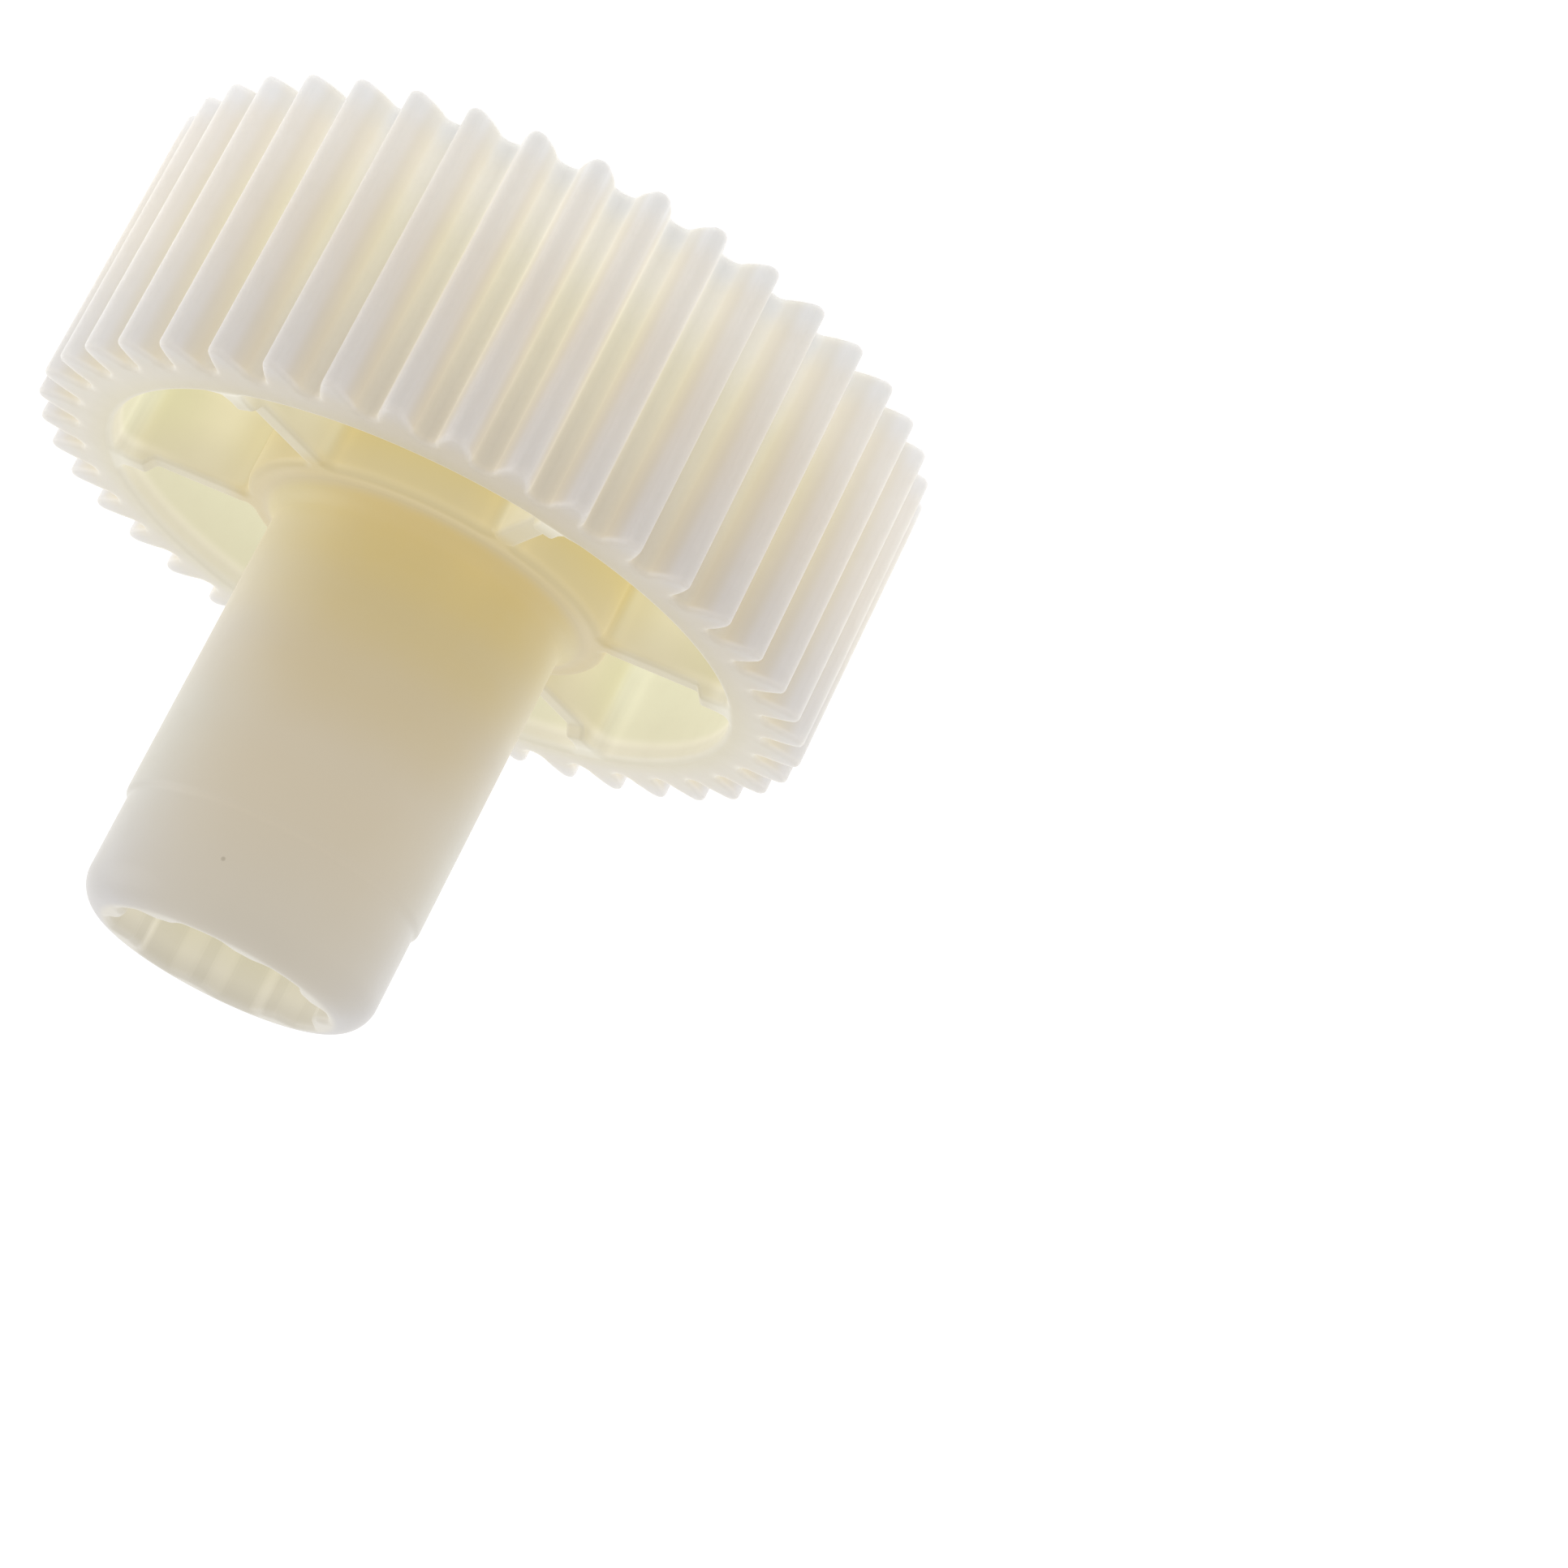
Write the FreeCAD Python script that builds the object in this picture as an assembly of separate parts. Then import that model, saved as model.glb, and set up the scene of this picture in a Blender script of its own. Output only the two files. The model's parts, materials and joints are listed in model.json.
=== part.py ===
import FreeCAD, Part
import math
import os

# Moulded spur gear with a long hollow drive sleeve.
#
# Frame: the gear axis is Z. The origin is the centre of the back face, where
# the axle bore opens. +Z runs from the back face through the toothed wheel
# towards the open, splined end of the sleeve. +X runs through the middle of a
# tooth, of one rib on each side of the web and of one groove of the socket.
# All lengths are millimetres.

# ---- driving dimensions -------------------------------------------------
MODULE = 1.5              # gear module
TEETH = 41                # number of teeth
PRESSURE_ANGLE = 20.0     # degrees
TOOTH_THINNING = 0.14     # backlash allowance taken off the tooth thickness
TIP_CROWN = 0.38          # height of the rounded crown of each tooth
ROOT_ROUND = 0.50         # height of the rounded bottom of each gap
FACE_WIDTH = 24.0         # width of the toothed wheel along Z

RIM_INNER_R = 26.0        # inside radius of the rim, both recesses
WEB_Z0 = 10.25            # back surface of the web disc
WEB_Z1 = 13.75            # front surface of the web disc

BORE_R = 5.4              # axle bore, open at the back
BORE_DEPTH = 25.5         # bore depth from the back face
BACK_BOSS_R = 10.4        # outside radius of the back boss
BACK_RIB_T = 2.8          # thickness of the six back ribs
BACK_RIB_DROP = 0.8       # back ribs lie this far below the back face

COLLAR_R = 15.2           # collar round the root of the sleeve
COLLAR_DROP = 1.1         # collar and front ribs lie this far below the front face
FRONT_RIB_T = 1.8         # thickness of the six front ribs
RIB_STEP_R0 = 23.0        # the front ribs step up close to the rim, from here
RIB_STEP_R1 = 23.7        # to here
RIB_STEP_DROP = 0.2       # and end this far below the front face
RIBS = 6                  # ribs on each side of the web

SLEEVE_R = 12.1           # outside radius of the sleeve (running journal)
NOSE_R = 11.8             # outside radius of the sleeve's nose
NOSE_Z = 48.8             # shoulder between journal and nose
END_Z = 57.7              # open end of the sleeve
NOSE_ROUND = 2.7          # rounding of the open end

FLOOR_T = 2.5             # wall between the axle bore and the socket
SPLINES = 8               # grooves in the socket
SOCKET_LAND_R = 8.0       # radius to the lands between the grooves
SOCKET_GROOVE_R = 8.9     # radius to the bottoms of the grooves
GROOVE_HALF_DEG = 11.0    # half width of a groove's bottom
LAND_START_DEG = 15.0     # where the land starts, from the groove's middle
# -------------------------------------------------------------------------

PITCH_R = MODULE * TEETH / 2.0
TIP_R = PITCH_R + MODULE
ROOT_R = PITCH_R - 1.25 * MODULE
BASE_R = PITCH_R * math.cos(math.radians(PRESSURE_ANGLE))
FLOOR_Z0 = BORE_DEPTH
FLOOR_Z1 = BORE_DEPTH + FLOOR_T
Z = FreeCAD.Vector(0, 0, 1)


def polar(r, angle, z=0.0):
    return FreeCAD.Vector(r * math.cos(angle), r * math.sin(angle), z)


def involute(alpha):
    return math.tan(alpha) - alpha


def half_tooth(r):
    """Half the angle that one tooth fills at radius r."""
    at_pitch = math.pi / (2 * TEETH) - TOOTH_THINNING / (2 * PITCH_R)
    if r <= BASE_R:
        return at_pitch + involute(math.radians(PRESSURE_ANGLE))
    return (
        at_pitch
        + involute(math.radians(PRESSURE_ANGLE))
        - involute(math.acos(BASE_R / r))
    )


def cylinder(r, z0, z1):
    return Part.makeCylinder(r, z1 - z0, FreeCAD.Vector(0, 0, z0), Z)


def ring(r0, r1, z0, z1):
    return cylinder(r1, z0, z1).cut(cylinder(r0, z0 - 1.0, z1 + 1.0))


def toothed_outline():
    """Closed outline of all the teeth: flank, crown, flank, rounded gap."""
    pitch = 2 * math.pi / TEETH
    low, high = ROOT_R + ROOT_ROUND, TIP_R - TIP_CROWN
    steps = 6
    radii = [low + (high - low) * i / (steps - 1) for i in range(steps)]
    edges = []
    for k in range(TEETH):
        mid = k * pitch
        rising = [polar(r, mid - half_tooth(r)) for r in radii]
        falling = [polar(r, mid + half_tooth(r)) for r in reversed(radii)]
        flank = Part.BSplineCurve()
        flank.interpolate(rising)
        edges.append(flank.toShape())
        edges.append(Part.Arc(rising[-1], polar(TIP_R, mid), falling[0]).toShape())
        flank = Part.BSplineCurve()
        flank.interpolate(falling)
        edges.append(flank.toShape())
        following = polar(low, mid + pitch - half_tooth(low))
        edges.append(
            Part.Arc(falling[-1], polar(ROOT_R, mid + pitch / 2), following).toShape()
        )
    return Part.Wire(edges)


def socket_outline(z):
    """Closed outline of the socket: wide grooves between rounded lands."""
    pitch = 2 * math.pi / SPLINES
    g = math.radians(GROOVE_HALF_DEG)
    s = math.radians(LAND_START_DEG)
    edges = []
    for k in range(SPLINES):
        mid = k * pitch
        edges.append(
            Part.Arc(
                polar(SOCKET_GROOVE_R, mid - g, z),
                polar(SOCKET_GROOVE_R, mid, z),
                polar(SOCKET_GROOVE_R, mid + g, z),
            ).toShape()
        )
        edges.append(
            Part.LineSegment(
                polar(SOCKET_GROOVE_R, mid + g, z), polar(SOCKET_LAND_R, mid + s, z)
            ).toShape()
        )
        edges.append(
            Part.Arc(
                polar(SOCKET_LAND_R, mid + s, z),
                polar(SOCKET_LAND_R, mid + pitch / 2, z),
                polar(SOCKET_LAND_R, mid + pitch - s, z),
            ).toShape()
        )
        edges.append(
            Part.LineSegment(
                polar(SOCKET_LAND_R, mid + pitch - s, z),
                polar(SOCKET_GROOVE_R, mid + pitch - g, z),
            ).toShape()
        )
    return Part.Wire(edges)


def socket_core(z0, z1):
    """The solid that the socket's space fills between two heights."""
    return Part.Face(socket_outline(z0)).extrude(FreeCAD.Vector(0, 0, z1 - z0))


def rib(outline_rz, thickness, angle_deg, r0, r1):
    """A radial rib: an outline in radius and height, given a thickness, and
    ended on the cylinders r0 and r1."""
    half = thickness / 2.0
    points = [FreeCAD.Vector(r, -half, z) for r, z in outline_rz]
    plate = Part.Face(Part.makePolygon(points + [points[0]])).extrude(
        FreeCAD.Vector(0, thickness, 0)
    )
    zs = [z for _, z in outline_rz]
    body = plate.common(ring(r0, r1, min(zs) - 1.0, max(zs) + 1.0))
    body.rotate(FreeCAD.Vector(0, 0, 0), Z, angle_deg)
    return body


def one_solid(shape):
    solids = shape.Solids
    if len(solids) != 1:
        raise ValueError("expected one solid, found %d" % len(solids))
    return solids[0]


parts = {}

# Toothed wheel: the teeth and the rim that carries them.
parts["toothed_rim"] = (
    Part.Face(toothed_outline())
    .extrude(FreeCAD.Vector(0, 0, FACE_WIDTH))
    .cut(cylinder(RIM_INNER_R, -1.0, FACE_WIDTH + 1.0))
)

# Web disc, half way through the rim, pierced by the axle bore.
parts["web_disc"] = ring(BORE_R, RIM_INNER_R, WEB_Z0, WEB_Z1)

# Back boss round the mouth of the axle bore, level with the back face.
parts["back_boss"] = ring(BORE_R, BACK_BOSS_R, 0.0, WEB_Z0)

# Collar: the thick hub in front of the web, from which the sleeve rises.
collar_top = FACE_WIDTH - COLLAR_DROP
parts["front_collar"] = ring(BORE_R, COLLAR_R, WEB_Z1, collar_top)

# Root of the sleeve: thick wall round the deep end of the axle bore.
parts["sleeve_root"] = ring(BORE_R, SLEEVE_R, collar_top, FLOOR_Z0)

# Wall that closes the axle bore and carries the bottom of the socket.
parts["socket_floor"] = cylinder(SLEEVE_R, FLOOR_Z0, FLOOR_Z1)

# Journal of the sleeve, with the splined socket inside.
parts["sleeve_journal"] = cylinder(SLEEVE_R, FLOOR_Z1, NOSE_Z).cut(
    socket_core(FLOOR_Z1 - 1.0, NOSE_Z + 1.0)
)

# Nose of the sleeve: slightly smaller, with a large rounding at the open end.
start = FreeCAD.Vector(0, 0, NOSE_Z)
corner = END_Z - NOSE_ROUND
c45 = math.cos(math.pi / 4)
nose_profile = Part.Wire(
    [
        Part.makeLine(start, FreeCAD.Vector(NOSE_R, 0, NOSE_Z)),
        Part.makeLine(FreeCAD.Vector(NOSE_R, 0, NOSE_Z), FreeCAD.Vector(NOSE_R, 0, corner)),
        Part.Arc(
            FreeCAD.Vector(NOSE_R, 0, corner),
            FreeCAD.Vector(
                NOSE_R - NOSE_ROUND * (1 - c45), 0, corner + NOSE_ROUND * c45
            ),
            FreeCAD.Vector(NOSE_R - NOSE_ROUND, 0, END_Z),
        ).toShape(),
        Part.makeLine(
            FreeCAD.Vector(NOSE_R - NOSE_ROUND, 0, END_Z), FreeCAD.Vector(0, 0, END_Z)
        ),
        Part.makeLine(FreeCAD.Vector(0, 0, END_Z), start),
    ]
)
nose = Part.Face(nose_profile).revolve(FreeCAD.Vector(0, 0, 0), Z, 360.0)
parts["sleeve_nose"] = nose.cut(socket_core(NOSE_Z - 1.0, END_Z + 1.0))

# Ribs on both sides of the web, 60 degrees apart.
back_rib_outline = [
    (BACK_BOSS_R - 2.0, BACK_RIB_DROP),
    (RIM_INNER_R + 2.0, BACK_RIB_DROP),
    (RIM_INNER_R + 2.0, WEB_Z0),
    (BACK_BOSS_R - 2.0, WEB_Z0),
]
step_top = FACE_WIDTH - RIB_STEP_DROP
front_rib_outline = [
    (COLLAR_R - 2.0, WEB_Z1),
    (RIM_INNER_R + 2.0, WEB_Z1),
    (RIM_INNER_R + 2.0, step_top),
    (RIB_STEP_R1, step_top),
    (RIB_STEP_R0, collar_top),
    (COLLAR_R - 2.0, collar_top),
]
for i in range(RIBS):
    angle = i * 360.0 / RIBS
    parts["back_rib_%d" % (i + 1)] = rib(
        back_rib_outline, BACK_RIB_T, angle, BACK_BOSS_R, RIM_INNER_R
    )
    parts["front_rib_%d" % (i + 1)] = rib(
        front_rib_outline, FRONT_RIB_T, angle, COLLAR_R, RIM_INNER_R
    )

os.makedirs("parts", exist_ok=True)
for name, shape in parts.items():
    solid = one_solid(shape)
    if not solid.isValid():
        raise ValueError("%s is not a valid solid" % name)
    solid.exportStep("parts/%s.step" % name)
    box = solid.BoundBox
    print(
        "%-16s volume %9.1f mm3  z %.2f to %.2f  x %.2f to %.2f"
        % (name, solid.Volume, box.ZMin, box.ZMax, box.XMin, box.XMax)
    )
print("tip radius %.3f, pitch radius %.3f, root radius %.3f" % (TIP_R, PITCH_R, ROOT_R))
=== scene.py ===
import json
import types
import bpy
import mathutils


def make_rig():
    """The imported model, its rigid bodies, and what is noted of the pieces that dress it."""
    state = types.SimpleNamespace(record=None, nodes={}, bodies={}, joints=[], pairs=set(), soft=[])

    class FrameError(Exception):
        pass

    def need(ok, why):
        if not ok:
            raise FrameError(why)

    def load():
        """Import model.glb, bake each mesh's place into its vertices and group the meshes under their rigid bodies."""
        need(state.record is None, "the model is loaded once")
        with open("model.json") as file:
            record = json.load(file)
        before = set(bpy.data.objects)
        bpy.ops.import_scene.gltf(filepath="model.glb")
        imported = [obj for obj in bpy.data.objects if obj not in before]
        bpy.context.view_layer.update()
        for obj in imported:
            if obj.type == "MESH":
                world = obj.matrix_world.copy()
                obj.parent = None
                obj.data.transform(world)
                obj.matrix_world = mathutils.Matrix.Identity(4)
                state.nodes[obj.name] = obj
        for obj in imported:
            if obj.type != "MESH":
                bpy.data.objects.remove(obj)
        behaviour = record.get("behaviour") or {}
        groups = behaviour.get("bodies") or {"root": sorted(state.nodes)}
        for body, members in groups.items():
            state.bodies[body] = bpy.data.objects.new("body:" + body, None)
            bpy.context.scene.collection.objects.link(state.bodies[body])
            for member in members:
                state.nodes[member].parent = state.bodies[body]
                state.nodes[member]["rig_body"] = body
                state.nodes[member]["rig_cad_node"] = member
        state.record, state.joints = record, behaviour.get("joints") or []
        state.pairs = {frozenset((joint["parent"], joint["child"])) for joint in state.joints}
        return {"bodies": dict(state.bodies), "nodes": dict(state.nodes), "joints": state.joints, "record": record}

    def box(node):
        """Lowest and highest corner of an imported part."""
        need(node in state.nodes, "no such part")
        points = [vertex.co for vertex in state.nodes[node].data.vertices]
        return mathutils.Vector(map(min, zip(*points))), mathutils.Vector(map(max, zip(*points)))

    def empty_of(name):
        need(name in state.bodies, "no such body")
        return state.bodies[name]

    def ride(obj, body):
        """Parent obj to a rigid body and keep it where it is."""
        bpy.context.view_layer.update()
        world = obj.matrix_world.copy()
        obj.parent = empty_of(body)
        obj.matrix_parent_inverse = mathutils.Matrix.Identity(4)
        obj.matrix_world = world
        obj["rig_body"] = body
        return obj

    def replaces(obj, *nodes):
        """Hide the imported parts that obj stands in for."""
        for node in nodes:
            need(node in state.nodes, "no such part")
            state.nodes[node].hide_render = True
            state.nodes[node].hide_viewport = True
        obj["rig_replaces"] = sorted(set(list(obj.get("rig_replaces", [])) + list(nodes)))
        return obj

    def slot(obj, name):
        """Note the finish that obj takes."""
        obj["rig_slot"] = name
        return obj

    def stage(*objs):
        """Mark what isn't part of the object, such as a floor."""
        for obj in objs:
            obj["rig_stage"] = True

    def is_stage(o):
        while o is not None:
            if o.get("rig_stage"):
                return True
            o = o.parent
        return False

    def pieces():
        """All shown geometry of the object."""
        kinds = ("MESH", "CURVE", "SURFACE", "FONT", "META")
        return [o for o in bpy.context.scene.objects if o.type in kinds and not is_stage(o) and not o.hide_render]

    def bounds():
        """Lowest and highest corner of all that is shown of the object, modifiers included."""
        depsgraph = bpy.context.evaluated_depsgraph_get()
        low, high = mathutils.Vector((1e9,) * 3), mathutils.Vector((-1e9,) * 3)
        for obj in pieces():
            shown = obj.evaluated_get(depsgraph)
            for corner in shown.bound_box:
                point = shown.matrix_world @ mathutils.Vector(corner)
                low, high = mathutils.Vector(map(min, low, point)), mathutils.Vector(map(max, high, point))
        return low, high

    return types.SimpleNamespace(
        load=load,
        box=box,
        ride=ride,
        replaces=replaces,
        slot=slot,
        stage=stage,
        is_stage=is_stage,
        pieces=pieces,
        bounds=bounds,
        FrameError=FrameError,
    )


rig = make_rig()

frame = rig.load()

import json
import math
import time

import bpy
import numpy as np
from mathutils import Matrix, Vector

START = time.time()
CAD_BOX = [list(v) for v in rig.bounds()]

# ---------------------------------------------------------------------------
# Dimensions, in millimetres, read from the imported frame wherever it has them.
# ---------------------------------------------------------------------------
MM = 1000.0


def box_mm(node):
    lo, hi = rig.box(node)
    return np.array(lo) * MM, np.array(hi) * MM


TEETH = 41
FACE_Z = box_mm("toothed_rim")[1][2]
TIP_R = 32.25
RIM_R = box_mm("web_disc")[1][0]
WEB_LO, WEB_HI = box_mm("web_disc")[0][2], box_mm("web_disc")[1][2]
BOSS_R = box_mm("back_boss")[1][0]
COLLAR_R = box_mm("front_collar")[1][0]
COLLAR_TOP = box_mm("front_collar")[1][2]
BORE_R = 5.4
BORE_END = box_mm("socket_floor")[0][2]
FLOOR_TOP = box_mm("socket_floor")[1][2]
SLEEVE_R = box_mm("sleeve_journal")[1][0]
NOSE_R = box_mm("sleeve_nose")[1][0]
NOSE_Z = box_mm("sleeve_nose")[0][2]
END_Z = box_mm("sleeve_nose")[1][2]
FRONT_HALF = box_mm("front_rib_1")[1][1]
FRONT_TOP = box_mm("front_rib_1")[1][2]
BACK_HALF = box_mm("back_rib_1")[1][1]
BACK_TOP = box_mm("back_rib_1")[0][2]
NOSE_ROUND = 2.7
LAND_R, GROOVE_R = 8.0, 8.9
MID_Z = 0.5 * (WEB_LO + WEB_HI)

PITCH_R = 0.75 * TEETH
ROOT_R = PITCH_R - 1.875
BASE_R = PITCH_R * math.cos(math.radians(20.0))


def involute(a):
    return math.tan(a) - a


def half_tooth(r):
    at_pitch = math.pi / (2 * TEETH) - 0.14 / (2 * PITCH_R)
    if r <= BASE_R:
        return at_pitch + involute(math.radians(20.0))
    return at_pitch + involute(math.radians(20.0)) - involute(math.acos(BASE_R / r))


def smooth01(x):
    x = np.clip(x, 0.0, 1.0)
    return x * x * (3.0 - 2.0 * x)


# ---------------------------------------------------------------------------
# One half of a tooth as a smoothed line: gap, flank, crown.
# ---------------------------------------------------------------------------
def half_profile():
    half_pitch = math.pi / TEETH
    low, high = ROOT_R + 0.50, TIP_R - 0.38
    pts = []
    # rounded gap: circle through both flank feet and the bottom, in the gap's own axes
    a = half_pitch - half_tooth(low)
    fx, fy = low * math.cos(a), low * math.sin(a)
    c = (fx * fx + fy * fy - ROOT_R**2) / (2 * (fx - ROOT_R))
    rho = c - ROOT_R
    top = math.atan2(fy, c - fx)
    for t in np.linspace(-top, top, 61)[:-1]:
        x, y = c - rho * math.cos(t), rho * math.sin(t)
        g = half_pitch
        # the gap's axis is at +half_pitch; y runs towards the tooth (smaller angle)
        pts.append((x * math.cos(g) + y * math.sin(g), x * math.sin(g) - y * math.cos(g)))
    for r in np.linspace(low, high, 60)[:-1]:
        h = half_tooth(r)
        pts.append((r * math.cos(h), r * math.sin(h)))
    h = half_tooth(high)
    hx, hy = high * math.cos(h), high * math.sin(h)
    c = (TIP_R**2 - hx * hx - hy * hy) / (2 * (TIP_R - hx))
    rho = TIP_R - c
    top = math.atan2(hy, hx - c)
    for t in np.linspace(top, -top, 61):
        pts.append((c + rho * math.cos(t), rho * math.sin(t)))
    p = np.array(pts)
    seg = np.linalg.norm(np.diff(p, axis=0), axis=1)
    s = np.concatenate([[0], np.cumsum(seg)])
    u = np.arange(0, s[-1], 0.02)
    q = np.stack([np.interp(u, s, p[:, 0]), np.interp(u, s, p[:, 1])], 1)
    k = np.exp(-0.5 * (np.arange(-20, 21) * 0.02 / 0.13) ** 2)
    k /= k.sum()
    q = np.stack([np.convolve(q[:, i], k, "valid") for i in (0, 1)], 1)
    ang = np.arctan2(q[:, 1], q[:, 0])
    keep = (ang > -0.006) & (ang < half_pitch + 0.008)
    q = q[keep]
    return q[::5]


PROFILE = half_profile()
P0, P1 = PROFILE[:-1], PROFILE[1:]
PD = P1 - P0
PL = (PD**2).sum(1)


def tooth_distance(r, th):
    """Signed distance to the toothed outline, negative inside. r and th have one shape."""
    half_pitch = math.pi / TEETH
    out = (r - ROOT_R).astype(np.float64)
    near = r > 27.6
    if not near.any():
        return out
    rr, tt = r[near], th[near]
    f = np.abs((tt + half_pitch) % (2 * half_pitch) - half_pitch)
    x, y = rr * np.cos(f), rr * np.sin(f)
    res = np.empty(len(x))
    for s in range(0, len(x), 40000):
        e = s + 40000
        dx = x[s:e, None] - P0[:, 0]
        dy = y[s:e, None] - P0[:, 1]
        t = np.clip((dx * PD[:, 0] + dy * PD[:, 1]) / PL, 0, 1)
        ex, ey = dx - t * PD[:, 0], dy - t * PD[:, 1]
        d2 = ex * ex + ey * ey
        i = d2.argmin(1)
        n = np.arange(len(i))
        side = PD[i, 0] * ey[n, i] - PD[i, 1] * ex[n, i]
        res[s:e] = np.sqrt(d2[n, i]) * np.where(side > 0, 1.0, -1.0)
    out[near] = res
    return out


# ---------------------------------------------------------------------------
# The whole moulding as one signed distance, with its fillets and roundings.
# ---------------------------------------------------------------------------
def edge(a, b, rad):
    """Intersection with its edge rounded to rad."""
    return np.minimum(-rad, np.maximum(a, b)) + np.hypot(
        np.maximum(a + rad, 0), np.maximum(b + rad, 0)
    )


def fillet(a, b, rad):
    """Union with its corner filled to rad."""
    return np.maximum(rad, np.minimum(a, b)) - np.hypot(
        np.maximum(rad - a, 0), np.maximum(rad - b, 0)
    )


def plan_fields(r, th):
    """Everything that depends on radius and angle alone."""
    tooth = tooth_distance(r, th)
    sixth = math.pi / 3
    phi = (th + sixth / 2) % sixth - sixth / 2
    t = r * np.sin(phi)
    at = np.abs(t)
    front = fillet(RIM_R - r, at - FRONT_HALF, 1.35)
    front = fillet(front, r - COLLAR_R, 0.9)
    back = fillet(RIM_R - r, at - BACK_HALF, 1.3)
    back = fillet(back, r - BOSS_R, 0.9)
    # grooves of the socket
    eighth = math.pi / 4
    g = np.degrees(np.abs((th + eighth / 2) % eighth - eighth / 2))
    w = smooth01((19.0 - g) / 12.0) * smooth01((r - 3.0) / 4.0)
    socket = r - (LAND_R + (GROOVE_R - LAND_R) * w)
    u = np.clip((19.0 - g) / 12.0, 0, 1)
    slope = (GROOVE_R - LAND_R) * 6 * u * (1 - u) / np.radians(12.0)
    socket = socket / np.sqrt(1 + (slope / np.maximum(r, 4.0)) ** 2)
    # which of the six ribs, for the gate marks on the back
    gate_angle = np.minimum(np.abs((th + math.pi / 2) % math.pi - math.pi / 2), 1.0)
    gx = r * np.cos(gate_angle) - 14.9
    gy = r * np.sin(gate_angle)
    gate = np.hypot(gx, gy) - 0.55
    return tooth, front, back, socket, t, gate


def solid(r, th, z, plan=None):
    tooth, front, back, socket, t, gate = plan if plan is not None else plan_fields(r, th)
    # heights of the walls in front of and behind the web
    step = smooth01((r - 22.9) / 0.9)
    top = COLLAR_TOP + (FRONT_TOP - COLLAR_TOP) * step
    top = top + (FACE_Z - FRONT_TOP) * smooth01((r - 25.5) / 0.9)
    low = BACK_TOP * smooth01((r - BOSS_R + 0.1) / 0.9) * (1 - smooth01((r - 25.2) / 0.9))
    # front half: the collar edge is rounder than the ribs
    fr = 0.34 + 0.50 * (1 - smooth01((r - 15.3) / 0.6)) + 0.22 * smooth01((r - 25.2) / 0.7)
    up = edge(front, z - top, fr)
    up = fillet(up, z - WEB_HI, 0.9)
    # back half: one side of each rib is crisp, the other soft
    br = np.where(t > 0, 0.20, 0.62)
    br = br + (0.9 - br) * smooth01((r - 24.2) / 1.6)
    br = np.where(r < BOSS_R + 0.5, 0.45, br)
    down = edge(back, low - z, br)
    down = fillet(down, WEB_LO - z, 0.9)
    down = fillet(down, edge(gate, (BACK_TOP - 0.16) - z, 0.1), 0.12)
    f = np.where(z > MID_Z, up, down)
    f = edge(f, tooth, 0.42)
    # sleeve
    taper = SLEEVE_R - (SLEEVE_R - NOSE_R) * smooth01((z - NOSE_Z + 0.30) / 0.60)
    sleeve = np.maximum(edge(r - taper, z - END_Z, NOSE_ROUND), MID_Z - z)
    f = fillet(f, sleeve, 1.9)
    # bore and socket
    f = edge(f, np.minimum(BORE_R - r, BORE_END - z), 0.45)
    hole = edge(socket, FLOOR_TOP - z, 0.7)
    f = edge(f, -hole, 0.55)
    return f


# ---------------------------------------------------------------------------
# Grid: radius, angle, height. Its lines crowd together where edges are, and a
# boundary between two regions lies half way between two lines.
# ---------------------------------------------------------------------------
def lines(*runs):
    out = []
    for a, b, n in runs:
        out.extend(np.linspace(a, b, n + 1))
    out = np.array(sorted(set(round(float(v), 4) for v in out)))
    return out


R = lines(
    (0.0, 4.4, 3), (4.4, 5.1, 2), (5.1, 5.34, 1), (5.46, 6.0, 3), (6.0, 7.5, 2),
    (7.5, 7.8, 1), (7.8, 9.5, 10), (9.5, 10.33, 3), (10.47, 11.2, 4), (11.2, 11.84, 2),
    (11.96, 12.14, 1), (12.26, 13.3, 5), (13.3, 14.3, 5), (14.3, 15.14, 5), (15.26, 15.7, 2),
    (15.7, 16.4, 2), (16.4, 22.8, 8), (22.8, 23.9, 6), (23.9, 25.1, 4), (25.1, 25.93, 5),
    (26.07, 26.8, 4), (26.8, 28.7, 2), (28.7, 32.3, 19), (32.3, 32.5, 1),
)
Z = lines(
    (-0.07, 0.07, 1), (0.07, 0.72, 5), (0.88, 1.6, 3), (1.6, 8.9, 2), (8.9, 10.18, 5),
    (10.32, 12.0, 1), (12.0, 13.68, 1), (13.82, 15.1, 5), (15.1, 21.7, 2), (21.7, 22.83, 6),
    (22.97, 23.72, 5), (23.72, 23.94, 2), (24.06, 25.44, 4), (25.56, 27.94, 1), (28.06, 29.0, 3),
    (29.0, 48.2, 5), (48.2, 48.74, 2), (48.86, 49.4, 2), (49.4, END_Z - 3.3, 2),
    (END_Z - 3.3, END_Z - 0.06, 16), (END_Z + 0.06, END_Z + 0.2, 1),
)
COLUMNS = TEETH * 18
TH = (np.arange(COLUMNS) + 0.5) * (2 * math.pi / COLUMNS)

NODES = (
    ["toothed_rim", "web_disc", "back_boss", "front_collar", "sleeve_root", "socket_floor",
     "sleeve_journal", "sleeve_nose"]
    + ["front_rib_%d" % (i + 1) for i in range(6)]
    + ["back_rib_%d" % (i + 1) for i in range(6)]
)
LABEL = {n: i + 1 for i, n in enumerate(NODES)}


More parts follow.
